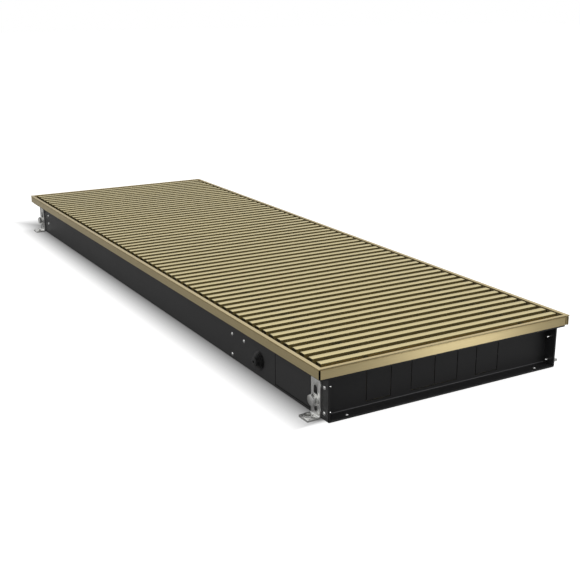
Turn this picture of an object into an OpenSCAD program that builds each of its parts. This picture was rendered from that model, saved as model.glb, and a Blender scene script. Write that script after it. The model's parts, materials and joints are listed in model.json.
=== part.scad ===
/* [Whole heater] */
// Length over the edge frame
frame_length = 1200; // [1100:10:1500]
// Width over the edge frame
frame_width = 407; // [396:1:430]
// Height from the floor to the top of the grille
total_height = 75; // [74:0.5:90]

/* [Edge frame] */
// Width of the frame's flat top
strip_w = 5.5; // [5:0.1:7]
// Thickness of the frame's top
strip_t = 1.5; // [1.2:0.1:2]
// Height of the frame's outer face
leg_h = 14.1; // [13.5:0.1:15.5]
// How far the outer face reaches down past the trough's rim
leg_drop = 0.4; // [0.3:0.1:2]
// Thickness of the outer face
leg_t = 1.6; // [1.2:0.1:1.8]
// Thickness of the inner leg and of the ledge
ledge_t = 1.5; // [1.2:0.1:1.8]
// How far the ledge reaches in from the inner leg
ledge_reach = 12.5; // [12:0.1:14]
// How far the top stands out past the outer face
bead = 0.8; // [0.5:0.1:1.2]
// Height of the shadow groove under the top
groove_h = 1.2; // [0.8:0.1:1.6]
// Depth of the shadow groove
groove_d = 0.7; // [0.4:0.1:0.8]
// Chamfer along the edges of the top
edge_chamfer = 0.4; // [0.2:0.1:0.6]
// Open slit left at the mitred corners
corner_slit = 1.7; // [0.8:0.1:2]
// Gap at the square corners
butt_gap = 0.3; // [0.2:0.1:0.6]
// Thickness of the rubber rest strip
rest_t = 2; // [1.6:0.1:2.4]
// Width of the rubber rest strip
rest_w = 9; // [8:0.1:10]

/* [Roll-up grille] */
// Distance from the frame's end to the middle of the first bar
first_bar = 19.5; // [19:0.1:22]
// Distance aimed at between neighbouring bars
bar_step = 19.35; // [17:0.05:22]
// Width of a bar
bar_w = 9.9; // [9:0.1:11.5]
// Radius of a bar's crowned top
crown_r = 60; // [30:5:120]
// Side and bottom wall of a bar
bar_wall = 1.1; // [0.9:0.1:1.4]
// Thickness in the middle of a bar's top
bar_top = 2; // [1.8:0.1:2.4]
// Chamfer along the upper edges of a bar
bar_chamfer = 0.5; // [0.3:0.1:0.8]
// Thickness of the caps on a bar's ends
cap_t = 1.4; // [0.6:0.1:2]
// Gap between the frame and the ends of the bars
bar_end_gap = 4.6; // [4.4:0.1:7]
// Distance of each linking spring from the middle
link_x = 127; // [80:1:150]
// Height of the linking springs above the bars' underside
link_rise = 4.8; // [4.6:0.1:5]
// Radius of the linking springs
spring_r = 2.4; // [2:0.1:2.6]
// Outer radius of the spacer bushes
bush_r = 3.6; // [3.4:0.1:3.8]
// Number of bars at the front that are shown free to roll
roll_count = 5; // [5:1:5]

/* [Trough] */
// Thickness of the folded steel sheet
sheet_t = 1.2; // [1:0.1:1.4]
// Outer radius of a fold
fold_r = 2; // [1.8:0.1:2.4]
// Trough wall, set in from the frame's side
side_inset = 16.5; // [15:0.5:18]
// Trough end, set in from the frame's end
end_inset = 5; // [4:0.5:7]
// Edge of the side flange, set in from the frame's side
flange_inset = 4.2; // [3.6:0.1:5]
// Edge of the end flange, set in from the frame's end
end_flange_inset = 3; // [2.6:0.1:4]
// Height of the turned-down lip
lip_h = 3.5; // [3:0.1:4.5]
// End panel, set back from the trough's end
panel_recess = 18; // [16:0.5:22]
// Width of the knock-outs in the end panels
knock_w = 39; // [36:0.5:40]
// Height of the knock-outs in the end panels
knock_h = 46; // [43:0.5:47]
// Height of the knock-outs' lower edge
knock_z = 7.3; // [6:0.1:9]
// Length of the knock-out in the left wall
side_knock_w = 89.6; // [70:0.5:95]
// Height of the knock-out in the left wall
side_knock_h = 45; // [40:0.5:46]
// Width of the slots round a knock-out
knock_slot = 1.2; // [0.8:0.1:1.4]
// Width of the bridges that hold a knock-out
knock_bridge = 1.2; // [0.8:0.1:2]
// Depth of the scored line round the left wall's knock-out
score_d = 0.8; // [0.4:0.1:0.8]

/* [Partitions] */
// Frame's front end to the front partition
front_bay = 268.6; // [255:1:300]
// Frame's rear end to the rear partition
rear_bay = 75; // [70:1:90]
// Width of the partitions' flanges
part_flange = 18; // [16:0.5:20]
// Partition's top edge below the trough's rim
part_drop = 5; // [4:0.5:8]

/* [Heat exchanger] */
// Middle of the exchanger to the right of the heater's middle
exchanger_x = 43; // [38:0.5:50]
// Height of the tubes' centres
exchanger_z = 27; // [26.5:0.1:29]
// Distance between the supply and return tubes
connection_w = 70.2; // [66:0.3:72]
// Outer radius of a copper tube
tube_r = 7.5; // [7:0.1:7.6]
// Wall of a copper tube
tube_wall = 0.8; // [0.6:0.1:1]
// Width of a fin
fin_w = 104; // [100:1:106]
// Height of a fin
fin_h = 44; // [40:0.5:45]
// Distance between fins
fin_step = 5; // [4.5:0.5:8]
// Thickness of a fin
fin_t = 0.5; // [0.4:0.1:0.6]
// Fins to the partitions
fin_margin = 7; // [6:0.5:10]
// Frame's front end to the mouths of the pipe sockets
socket_bay = 110; // [105:1:130]
// Radius of the pipe socket's threaded bore
socket_bore_r = 9.3; // [9:0.1:9.5]
// Size across the flats of the pipe socket
socket_af = 24; // [23:0.5:26]
// Length of the pipe socket
socket_len = 28; // [26:0.5:30]

/* [Fan] */
// Middle of the fan to the left of the heater's middle
fan_left = 48; // [46:0.5:52]
// Outer radius of the fan rotor
rotor_r = 20; // [19:0.5:20.5]
// Inner radius of the blades
blade_in_r = 15; // [14:0.5:15.5]
// Thickness of a blade
blade_t = 0.7; // [0.6:0.1:0.9]
// Number of blades
blade_count = 24; // [20:1:26]
// Thickness of the rotor's discs
disc_t = 1.5; // [1.2:0.1:2]
// Number of bays between a rotor's discs
disc_bays = 4; // [3:1:5]
// Radius of the shaft
shaft_r = 3; // [2.8:0.1:3.1]
// Gap between the rotor and the air guides
rotor_gap = 3; // [2.5:0.1:3.5]
// Rotor's outer end to the partition
rotor_margin = 12; // [11:0.5:14]
// Radius of the motor
motor_r = 21; // [20:0.5:21.5]
// Length of the motor's can
motor_len = 60; // [54:1:66]
// Gap between the motor's can and each rotor
motor_side = 17; // [16:0.5:20]

/* [Electrics] */
// Front partition to the middle of the cable grommet
grommet_ahead = 90; // [89:0.5:92]
// Height of the cable grommet's centre
grommet_z = 24; // [23:0.5:26]
// Outer radius of the grommet's base
grommet_r = 13.5; // [12:0.5:14]
// How far the grommet stands out of the wall
grommet_out = 9.5; // [8:0.5:11]
// Radius of the grommet's hollow
grommet_hollow_r = 4; // [3:0.5:4]
// Radius of the small hole in the grommet's tip
grommet_bore_r = 2; // [1.5:0.1:2.5]
// Length of the terminal box
box_l = 92; // [90:1:96]
// Width of the terminal box
box_w = 46; // [42:1:50]
// Height of the terminal box without its lid
box_h = 42; // [38:1:43]
// Wall of the terminal box
box_t = 2; // [1.6:0.1:2.4]

/* [Feet] */
// Frame's end to the middle of a foot
foot_in = 29.8; // [29.6:0.1:32]
// Width of a foot
foot_w = 20.7; // [20:0.1:21]
// Thickness of a foot
foot_t = 3; // [2.5:0.1:3]
// Height of a foot's upright
foot_h = 54; // [52:0.5:54.5]
// How far the foot's tab reaches out from the wall
foot_out = 20.6; // [19:0.2:23]
// Width of the slot in the upright
slot_w = 8.4; // [8.3:0.1:9]
// Lower end of the slot
slot_low = 7.7; // [7.5:0.1:8.5]
// Upper end of the slot
slot_high = 42.3; // [42:0.1:44]
// Height of the clamp bolts
bolt_z = 24; // [23.8:0.1:25]
// Radius of the clamp bolt's shank
bolt_r = 4; // [3.8:0.1:4]
// Radius of the anchor hole in the tab
anchor_r = 3.5; // [3:0.1:4]

/* [Hidden] */
$fn = 64;

// Overrun of a cut past the faces it opens
over = 2;
// Gap between folded pieces that are riveted together
fit_gap = 0.2;
// Radial play of a rivet or tube in its hole
hole_play = 0.1;
// Radial play of a turning shaft in its bearing
run_play = 0.05;

// Heights of the frame, the rest strips and the bars
half_length = frame_length / 2;
half_width = frame_width / 2;
rest_in = 5.5;
pad_len = 8;
flange_z = total_height - leg_h + leg_drop;
ledge_top = flange_z + ledge_t;
bar_z = ledge_top + rest_t;
bar_h = total_height - bar_z;
inner_x = half_width - strip_w;

// Bars, bushes and springs
bar_gap_count = round((frame_length - 2 * first_bar) / bar_step);
bar_count = bar_gap_count + 1;
bar_pitch = (frame_length - 2 * first_bar) / bar_gap_count;
bar_length = 2 * (inner_x - bar_end_gap);
link_z = bar_z + link_rise;
bush_len = bar_pitch - bar_w;
spring_hole_r = spring_r + fit_gap;
ferrule_len = 3;
function bar_y(i) = first_bar - half_length + i * bar_pitch;

// Trough, end panels and partitions
wall_x = half_width - side_inset;
wall_in = wall_x - sheet_t;
flange_x = half_width - flange_inset;
trough_length = frame_length - 2 * end_inset;
trough_end = trough_length / 2;
flange_end = half_length - end_flange_inset;
panel_face = trough_end - panel_recess;
panel_x = wall_in - fit_gap;
spare_x = exchanger_x - connection_w - knock_w + knock_slot;
knock_x = [
    exchanger_x - connection_w / 2, exchanger_x + connection_w / 2,
    spare_x - connection_w / 2, spare_x + connection_w / 2
];
side_knock_bay = 90.8;
side_knock_z = 4.3;
part_front = front_bay - half_length;
part_rear = half_length - rear_bay;
zone_front = part_front + sheet_t;
zone_rear = part_rear - sheet_t;
zone_mid = (zone_front + zone_rear) / 2;
part_top = flange_z - part_drop;
part_top_flange = 9;
part_rivet_gap = 4;

// Rivets
rivet_r = 1.6;
rivet_head_r = 2.7;
rivet_head_h = 1.4;
rivet_tail_h = 1.5;
panel_tail_len = 4;
panel_rivet_z = [9.5, 43.5];
front_rivet_z = [7, 37.5];
rear_rivet_z = [23, 40];
panel_rivet_y = trough_end - panel_recess / 2;
shelf_rivet_out = 30.2;
shelf_rivet_x = wall_in - shelf_rivet_out;
shelf_rivet_in = 7;
shelf_rivet_y = trough_end - shelf_rivet_in;
box_rivet_ahead = 45;
box_rivet_y = part_front - box_rivet_ahead;
box_rivet_z = 37.5;
frame_rivet_r = 1.5;
frame_rivet_head_r = 3;
frame_rivet_in = 10.5;
frame_rivet_x = half_width - frame_rivet_in;
frame_rivet_y = half_length - frame_rivet_in;
side_rivet_shares = [-0.9, -0.45, 0, 0.45, 0.9];
end_rivet_shares = [-0.7, 0, 0.7];

// Heat exchanger
tube_pitch = connection_w / 3;
tube_x = [for (i = [0:3]) exchanger_x + (i - 1.5) * tube_pitch];
tube_stub = 7;
tube_rear = part_rear + tube_stub;
tube_front = part_front - tube_stub;
sleeve_len = 8;
sleeve_wall = 0.9;
sleeve_stop = 2;
collar_t = 0.6;
fin_run = zone_rear - zone_front - 2 * fin_margin - fin_t;
fin_gap_count = floor(fin_run / fin_step);
fin_start = (zone_front + zone_rear - fin_gap_count * fin_step) / 2;
socket_mouth = socket_bay - half_length;
socket_end = socket_mouth + socket_len;
socket_hex_len = 19;
socket_bore_len = 15;
socket_neck_r = 10;
socket_inlay = 8;
bleed_af = 9;
bleed_h = 8;
bleed_back = 9;
bleed_y = socket_mouth + bleed_back;
bleed_x = exchanger_x + connection_w / 2;
bleed_z = exchanger_z + socket_af / 2;
bleed_bore_r = 2;
bleed_head_r = 3.2;
bleed_head_h = 2.6;
bleed_slot_w = 0.9;
bleed_slot_d = 1.2;
bush_wall = 1.6;
bush_lip = 1.5;
saddle_w = 22;
saddle_foot = 12;
saddle_shares = [-0.5, 0.5];

// Fan, motor and air guides
fan_x = -fan_left;
scroll_r = rotor_r + rotor_gap;
fan_z = 2 * sheet_t + scroll_r;
rotor_out = (zone_rear - zone_front) / 2 - rotor_margin;
rotor_in = motor_len / 2 + motor_side;
rotor_len = rotor_out - rotor_in;
blade_bow = 3.6;
blade_turn = 6;
disc_rim = 0.5;
hub_r = 6;
hub_len = 8;
stub_past = 4;
stub_len = rotor_margin + sheet_t + stub_past;
bearing_r = 6;
bearing_len = 8;
ring_r = 9;
ring_groove = 1.4;
ring_lip = 2;
boss_r = 6;
boss_len = 9;
motor_rib = 1.2;
motor_vent_w = 3;
motor_vent_count = 10;
bracket_w = 40;
bracket_side = 4;
bracket_foot = 12;
bracket_hole_in = 10;
scroll_end_gap = 3;
scroll_lip = 8;
scroll_shares = [0.12, 0.5, 0.88];
scroll_hole_in = 8;
scroll_rise = 12;
exchanger_left = exchanger_x - fin_w / 2;
guide_gap = 0.4;
guide_z = exchanger_z + fin_h / 2 + guide_gap;
guide_over = 6;
guide_tab_h = 14;
guide_tab_w = 14;
guide_slope = 60;
guide_lip_x = fan_x + scroll_r * cos(45);
guide_lip_z = fan_z + scroll_r * sin(45);
guide_flat_x = guide_lip_x + (guide_z - guide_lip_z) / tan(guide_slope);
guide_tab_x = (guide_flat_x + exchanger_left) / 2;
guide_rivet_z = guide_z - guide_tab_h / 2;

// Terminal box, cable and clips
grommet_y = part_front - grommet_ahead;
grommet_wall_r = 10;
grommet_steps = 6;
grommet_nose_r = 6.5;
grommet_groove = 0.7;
grommet_skin = 1.6;
grommet_lip = 2;
box_gap = 0.8;
box_x = -(wall_in - box_gap);
box_behind = 4;
box_rear = part_front - part_flange - box_behind;
box_front = box_rear - box_l;
box_floor_gap = 0.5;
box_z = sheet_t + box_floor_gap;
lid_t = 2.2;
lid_skirt = 4;
lid_play = 0.3;
lid_wall = 1.6;
lid_screw_r = 1.5;
lid_screw_len = 9;
lid_head_r = 3;
lid_head_h = 1.5;
post_r = 3.2;
post_in = 9;
block_w = 14;
block_h = 16;
block_ways = 5;
block_pitch = 11;
way_r = 2.2;
way_depth = 5;
cable_r = 3;
cable_x = box_x + box_w / 2;
cable_z = 14;
cable_low = sheet_t + cable_r + hole_play;
cable_in = 14;
cable_lead = 12;
cable_drop = 120;
cable_turn = 70;
clip_shift = 22;
clip_x = cable_x + clip_shift;
cable_floor_start = part_front + cable_lead + cable_drop;
cable_floor_end = zone_mid - cable_turn;
clip_shares = [0.1, 0.5, 0.9];
clip_w = 10;
clip_foot = 11;

// Feet
foot_y = half_length - foot_in;
foot_gap = 0.15;
foot_fold = 5;
collar_r = 6.5;
collar_h = 2.5;
anchor_out = 13;
washer_r = 8.6;
washer_t = 1.6;
head_af = 13;
head_h = 5.3;
head_collar_t = 0.8;
head_collar_r = 6.2;
nut_wall = 1.2;
nut_len = 7;
bolt_tip = 1.5;
crown_share = 0.95;

// Places of the rivets that go down through the trough's floor
function pair(x, y) = [[x, y], [-x, y]];
shelf_places = concat(pair(shelf_rivet_x, shelf_rivet_y), pair(shelf_rivet_x, -shelf_rivet_y));
part_places = [
    for (x = [-shelf_rivet_x, exchanger_left - part_rivet_gap, shelf_rivet_x])
        for (y = [part_front - part_flange / 2, part_rear + part_flange / 2]) [x, y]
];
bracket_places = [
    for (sx = [-1, 1]) for (sy = [-1, 1])
        [fan_x + sx * (bracket_w + bracket_foot) / 2, zone_mid + sy * (motor_len / 2 - bracket_hole_in)]
];
scroll_places = [
    for (end = [-1, 1]) for (share = scroll_shares)
        [exchanger_left - scroll_hole_in, zone_mid + end * (rotor_in + share * rotor_len)]
];
saddle_places = [
    for (share = saddle_shares) [exchanger_x + (fin_w + saddle_foot) / 2, saddle_y(share)]
];
clip_places = [for (share = clip_shares) [clip_x + cable_r + sheet_t + clip_foot / 2, clip_y(share)]];
floor_places = concat(shelf_places, part_places, bracket_places, scroll_places,
    saddle_places, clip_places);
function saddle_y(share) = zone_mid + share * (zone_rear - zone_front) / 2;
function clip_y(share) = cable_floor_start + share * (cable_floor_end - cable_floor_start);

// A profile drawn across the heater and pushed along it
module along_y(length) {
    rotate([90, 0, 0]) linear_extrude(height = length, center = true) children();
}

// A profile drawn along the heater and pushed across it
module along_x(length) {
    rotate([90, 0, 90]) linear_extrude(height = length, center = true) children();
}

module rod_x(radius, length) {
    rotate([0, 90, 0]) cylinder(r = radius, h = length, center = true);
}

module rod_y(radius, length) {
    rotate([90, 0, 0]) cylinder(r = radius, h = length, center = true);
}

module ring_2d(outer, inner) {
    difference() {
        circle(r = outer);
        circle(r = inner);
    }
}

// A quarter of a fold, in the quarter that the signs name
module fold_2d(sign_a, sign_b) {
    intersection() {
        ring_2d(fold_r, fold_r - sheet_t);
        translate([(sign_a - 1) / 2 * over * 2, (sign_b - 1) / 2 * over * 2]) square(over * 2);
    }
}

// A rivet with its dome at the top and its sheets from zero down to the grip
module rivet(grip, tail_len) {
    cap_r = (rivet_head_r * rivet_head_r + rivet_head_h * rivet_head_h) / (2 * rivet_head_h);
    rotate_extrude() {
        intersection() {
            translate([0, rivet_head_h - cap_r]) circle(r = cap_r);
            square([rivet_head_r, rivet_head_h]);
        }
        translate([0, -grip]) square([rivet_r, grip + rivet_head_h / 2]);
        if (tail_len > 0) translate([0, -grip - tail_len]) square([rivet_r + 2 * fit_gap, tail_len]);
    }
}

// The trough's cross-section: floor, walls and turned-down flanges
module open_box_2d(half, low, high, radius) {
    translate([-half, low + radius]) square([2 * half, high - low - radius]);
    translate([radius - half, low]) square([2 * (half - radius), 2 * radius]);
    for (side = [-1, 1]) translate([side * (half - radius), low + radius]) circle(r = radius);
}

module trough_2d() {
    difference() {
        union() {
            open_box_2d(wall_x, 0, flange_z, fold_r);
            translate([-flange_x, flange_z - lip_h]) square([2 * flange_x, lip_h]);
        }
        open_box_2d(wall_in, sheet_t, flange_z + over, fold_r - sheet_t);
        for (side = [-1, 1])
            translate([side * (wall_x + flange_x - sheet_t) / 2, flange_z - sheet_t - lip_h / 2])
                square([flange_x - sheet_t - wall_x, lip_h], center = true);
    }
}

// Slots round a knock-out, with bridges half way up its sides and at its upper corners
module knock_2d(w, h) {
    half = (h - knock_bridge) / 2;
    for (x = [0, w - knock_slot]) for (y = [0, h - half])
        translate([x, y]) square([knock_slot, half]);
    square([w, knock_slot]);
    translate([knock_slot + knock_bridge, h - knock_slot])
        square([w - 2 * (knock_slot + knock_bridge), knock_slot]);
}

// Closed line round a knock-out
module score_2d(w, h) {
    difference() {
        square([w, h]);
        translate([knock_slot, knock_slot]) square([w - 2 * knock_slot, h - 2 * knock_slot]);
    }
}

module trough() {
    color("#2b2b2c") difference() {
        along_y(trough_length) trough_2d();
        for (place = floor_places)
            translate([place[0], place[1], sheet_t / 2])
                cylinder(r = rivet_r + hole_play, h = sheet_t + over, center = true);
        for (end = [-1, 1]) {
            for (z = panel_rivet_z)
                translate([0, end * panel_rivet_y, z]) rod_x(rivet_r + hole_play, frame_width);
            translate([0, end * foot_y, bolt_z]) rod_x(bolt_r + hole_play, frame_width);
            for (share = side_rivet_shares)
                translate([end * frame_rivet_x, share * half_length, flange_z])
                    cylinder(r = frame_rivet_r + hole_play, h = 2 * (sheet_t + over), center = true);
        }
        for (z = front_rivet_z)
            translate([0, part_front - part_flange / 2, z])
                rod_x(rivet_r + hole_play, frame_width);
        for (z = rear_rivet_z)
            translate([0, part_rear + part_flange / 2, z])
                rod_x(rivet_r + hole_play, frame_width);
        translate([-wall_x, box_rivet_y, box_rivet_z])
            rod_x(rivet_r + hole_play, 2 * (sheet_t + over));
        translate([-wall_x, grommet_y, grommet_z]) rod_x(grommet_wall_r, 2 * (sheet_t + over));
        translate([-wall_x, side_knock_bay - half_length - side_knock_w / 2, side_knock_z])
            along_x(2 * score_d) score_2d(side_knock_w, side_knock_h);
    }
}

// Folded strip of a panel or partition whose flanges point to the front
module pan_2d(face, bottom_reach, top, top_reach) {
    back = face + sheet_t;
    turn = back - fold_r;
    translate([face - bottom_reach, sheet_t]) square([turn - face + bottom_reach, sheet_t]);
    translate([turn, sheet_t + fold_r]) fold_2d(1, -1);
    translate([face, sheet_t + fold_r]) square([sheet_t, top - sheet_t - 2 * fold_r]);
    translate([turn, top - fold_r]) fold_2d(1, 1);
    translate([face - top_reach, top - sheet_t]) square([turn - face + top_reach, sheet_t]);
}

// Side flanges of a panel or partition, with their rivet holes
module pan_flanges(face, reach, top, rivet_y, rivet_heights) {
    low = sheet_t + fold_r;
    for (side = [-1, 1])
        translate([side * (panel_x - sheet_t / 2), face + (sheet_t - reach) / 2, (low + top) / 2])
            difference() {
                cube([sheet_t, sheet_t + reach, top - low], center = true);
                for (z = rivet_heights)
                    translate([0, rivet_y - face - (sheet_t - reach) / 2, z - (low + top) / 2])
                        rod_x(rivet_r + hole_play, sheet_t + over);
            }
}

// Blocks on both sides that trim a piece to a half width
module trim_sides(half, rear, front, low, high) {
    for (side = [-1, 1])
        translate([side * (half + flange_x) / 2 + side * over, (rear + front) / 2, (low + high) / 2])
            cube([flange_x - half + 2 * over, abs(front - rear), high - low], center = true);
}

module end_panel() {
    face = -panel_face;
    shelf_top = sheet_t + fold_r;
    color("#242425") difference() {
        union() {
            along_x(2 * flange_x) {
                pan_2d(face, panel_recess, flange_z, flange_end - panel_face - fold_r);
                translate([fold_r - flange_end, flange_z - fold_r]) fold_2d(-1, 1);
                translate([-flange_end, flange_z - lip_h]) square([sheet_t, lip_h - fold_r]);
            }
            pan_flanges(face, panel_recess, flange_z - sheet_t, -panel_rivet_y, panel_rivet_z);
        }
        trim_sides(panel_x, face + sheet_t + over, -trough_end - fit_gap, -over, flange_z + over);
        trim_sides(panel_x - fold_r, face + sheet_t + over, -trough_end - over, -over, shelf_top);
        for (side = [-1, 1])
            translate([side * shelf_rivet_x, -shelf_rivet_y, sheet_t])
                cylinder(r = rivet_r + hole_play, h = 2 * over + sheet_t, center = true);
        translate([-knock_w / 2, face, knock_z]) along_y(2 * (sheet_t + over))
            for (x = knock_x) translate([x, 0]) knock_2d(knock_w, knock_h);
        for (share = end_rivet_shares)
            translate([share * half_width, -frame_rivet_y, flange_z])
                cylinder(r = frame_rivet_r + hole_play, h = 2 * (sheet_t + over), center = true);
    }
}

module front_end_panel() {
    end_panel();
}

module rear_end_panel() {
    rotate([0, 0, 180]) end_panel();
}

// Upright sheet across the trough that carries the tubes and a fan bearing
module partition(face, rivet_heights) {
    low = sheet_t + fold_r;
    color("#9a9c9e") difference() {
        union() {
            along_x(2 * panel_x) pan_2d(face, part_flange, part_top, part_top_flange);
            pan_flanges(face, part_flange, part_top - fold_r, face - part_flange / 2, rivet_heights);
        }
        trim_sides(panel_x - fold_r, face + sheet_t + over, face - part_flange - over, -over, low);
        trim_sides(panel_x - fold_r, face - fit_gap, face - part_flange - over, part_top - fold_r,
            part_top + over);
        for (x = tube_x) translate([x, face, exchanger_z]) rod_y(tube_r + bush_wall, 2 * over + sheet_t);
        translate([fan_x, face, fan_z]) rod_y(ring_r - ring_groove, 2 * over + sheet_t);
        translate([guide_tab_x, face, guide_rivet_z]) rod_y(rivet_r + hole_play, 2 * over + sheet_t);
        for (x = [-shelf_rivet_x, exchanger_left - part_rivet_gap, shelf_rivet_x])
            translate([x, face - part_flange / 2, sheet_t])
                cylinder(r = rivet_r + hole_play, h = 2 * over + sheet_t, center = true);
    }
}

module front_partition() {
    difference() {
        partition(part_front, front_rivet_z);
        translate([cable_x, part_front, cable_z]) rod_y(cable_r + fit_gap, 2 * over + sheet_t);
    }
}

module rear_partition() {
    mirror([0, 1, 0]) partition(-part_rear, rear_rivet_z);
}

module sheet_rivets() {
    color("#d8d8d6") {
        for (side = [-1, 1]) {
            for (end = [-1, 1]) for (z = panel_rivet_z)
                side_rivet(side, end * panel_rivet_y, z, 2 * sheet_t + fit_gap, panel_tail_len);
            for (z = front_rivet_z)
                side_rivet(side, part_front - part_flange / 2, z, 2 * sheet_t + fit_gap, panel_tail_len);
            for (z = rear_rivet_z)
                side_rivet(side, part_rear + part_flange / 2, z, 2 * sheet_t + fit_gap, panel_tail_len);
        }
        side_rivet(-1, box_rivet_y, box_rivet_z, sheet_t + box_gap + box_t, rivet_tail_h);
        translate([guide_tab_x, part_front, guide_rivet_z])
            rotate([90, 0, 0]) rivet(2 * sheet_t, rivet_tail_h);
        translate([guide_tab_x, part_rear, guide_rivet_z])
            rotate([-90, 0, 0]) rivet(2 * sheet_t, rivet_tail_h);
    }
}

module side_rivet(side, y, z, grip, tail_len) {
    translate([side * wall_x, y, z]) rotate([0, side * 90, 0]) rivet(grip, tail_len);
}

module floor_rivets() {
    color("#d8d8d6") for (place = floor_places)
        translate([place[0], place[1], 2 * sheet_t]) rivet(2 * sheet_t, 0);
}

// Rubber grommet: grooved cone outside the wall with a small hole in its tip, and a lip inside
module cable_grommet() {
    step_len = grommet_out / grommet_steps;
    step_in = (grommet_r - grommet_nose_r) / (grommet_steps - 1);
    seat_r = grommet_wall_r - hole_play;
    inner = sheet_t + box_gap - hole_play;
    color("#161617") translate([-wall_x, grommet_y, grommet_z]) rotate([0, -90, 0]) difference() {
        rotate_extrude() {
            for (i = [0:grommet_steps - 1]) translate([0, i * step_len]) {
                square([grommet_r - i * step_in, step_len - grommet_groove]);
                square([grommet_r - (i + 1) * step_in - grommet_groove, step_len]);
            }
            translate([0, -sheet_t]) square([seat_r, sheet_t + grommet_groove]);
            translate([0, -inner]) square([grommet_wall_r + grommet_lip, inner - sheet_t]);
        }
        translate([0, 0, -inner - over])
            cylinder(r = grommet_hollow_r, h = inner + over + grommet_out - grommet_skin);
        cylinder(r = grommet_bore_r, h = 2 * grommet_out);
    }
}

// Edge profile from its outer edge inwards: bead, open channel and ledge
module edge_2d() {
    top = total_height;
    polygon([
        [edge_chamfer, top], [strip_w - edge_chamfer, top], [strip_w, top - edge_chamfer],
        [strip_w, ledge_top], [strip_w + ledge_reach, ledge_top],
        [strip_w + ledge_reach, flange_z], [strip_w - ledge_t, flange_z],
        [strip_w - ledge_t, top - strip_t], [bead + leg_t, top - strip_t],
        [bead + leg_t, top - leg_h], [bead, top - leg_h], [bead, top - strip_t - groove_h],
        [bead + groove_d, top - strip_t - groove_h], [bead + groove_d, top - strip_t],
        [0, top - strip_t], [0, top - edge_chamfer]
    ]);
}

// A frame bar along Y, its outer edge at zero, mitred at the end that the sign names
module edge_bar(length, end) {
    reach = strip_w + ledge_reach + over;
    difference() {
        along_y(length) edge_2d();
        translate([0, 0, flange_z - over]) linear_extrude(height = leg_h + 2 * over)
            polygon([[-over, end * (length / 2 + over)], [reach, end * (length / 2 + over)],
                [reach, end * (length / 2 - reach)]]);
        translate([leg_t / 2 + bead - over, end * (length / 2 - bead - corner_slit + over), flange_z])
            cube([leg_t + 2 * over, 2 * over, 2 * (leg_h - strip_t - leg_drop)], center = true);
    }
}

// Countersunk hole in a ledge
module ledge_hole() {
    sink = frame_rivet_head_r - frame_rivet_r;
    translate([0, 0, ledge_top - sink])
        cylinder(r1 = frame_rivet_r + hole_play, r2 = frame_rivet_head_r + hole_play, h = sink);
    translate([0, 0, ledge_top]) cylinder(r = frame_rivet_head_r + hole_play, h = over);
    translate([0, 0, flange_z]) cylinder(r = frame_rivet_r + hole_play, h = 2 * ledge_t, center = true);
}

module frame_left() {
    end_reach = strip_w + ledge_reach + butt_gap;
    color("#b9a878") difference() {
        translate([-half_width, 0, 0]) edge_bar(frame_length, -1);
        translate([ledge_reach / 2 + over - inner_x, half_length - end_reach / 2 + over, flange_z])
            cube([ledge_reach + 2 * over, end_reach + 2 * over, 4 * ledge_t], center = true);
        for (share = side_rivet_shares) translate([-frame_rivet_x, share * half_length, 0]) ledge_hole();
    }
}

module frame_right() {
    rotate([0, 0, 180]) frame_left();
}

module frame_front() {
    short = strip_w + butt_gap;
    color("#b9a878") difference() {
        translate([-short / 2, -half_length, 0])
            rotate([0, 0, 90]) edge_bar(frame_width - short, 1);
        for (share = end_rivet_shares) translate([share * half_width, -frame_rivet_y, 0]) ledge_hole();
    }
}

module frame_rear() {
    rotate([0, 0, 180]) frame_front();
}

module frame_rivet() {
    sink = frame_rivet_head_r - frame_rivet_r;
    grip = ledge_t + sheet_t;
    translate([0, 0, ledge_top]) rotate_extrude() polygon([
        [0, 0], [frame_rivet_head_r, 0], [frame_rivet_r, -sink], [frame_rivet_r, -grip],
        [frame_rivet_r + fit_gap * 2, -grip], [frame_rivet_r + fit_gap * 2, -grip - rivet_tail_h],
        [0, -grip - rivet_tail_h]
    ]);
}

module frame_rivets() {
    color("#b9a878") for (side = [-1, 1]) {
        for (share = side_rivet_shares) translate([side * frame_rivet_x, share * half_length, 0])
            frame_rivet();
        for (share = end_rivet_shares) translate([share * half_width, side * frame_rivet_y, 0])
            frame_rivet();
    }
}

// Rubber strips under the bars' ends and rubber pads inside the mitred corners
module rest_strips() {
    end_reach = strip_w + ledge_reach + fit_gap;
    color("#1a1a1a") {
        for (side = [-1, 1])
            translate([side * (inner_x - bar_end_gap + rest_w / 2 - rest_in), 0, ledge_top + rest_t / 2])
                cube([rest_w, frame_length - 2 * end_reach, rest_t], center = true);
        for (turn = [0, 180]) rotate([0, 0, turn]) corner_pad();
    }
}

// L-shaped pad that closes the frame's channel behind a corner slit
module corner_pad() {
    outer = bead + leg_t + hole_play;
    inner = strip_w - ledge_t - hole_play;
    translate([-half_width, -half_length, flange_z + hole_play])
        linear_extrude(height = leg_h - leg_drop - strip_t - 2 * hole_play) difference() {
            translate([outer, outer]) square(pad_len);
            translate([inner, inner]) square(pad_len);
        }
}

// Outline of a bar with a slightly crowned top, its underside at zero
module bar_outline_2d() {
    half = bar_w / 2;
    intersection() {
        polygon([
            [-half, 0], [half, 0], [half, bar_h - bar_chamfer], [half - bar_chamfer, bar_h],
            [bar_chamfer - half, bar_h], [-half, bar_h - bar_chamfer]
        ]);
        translate([0, bar_h - crown_r]) circle(r = crown_r);
    }
}

module bar_2d() {
    difference() {
        bar_outline_2d();
        translate([bar_wall - bar_w / 2, bar_wall])
            square([bar_w - 2 * bar_wall, bar_h - bar_wall - bar_top]);
    }
}

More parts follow.
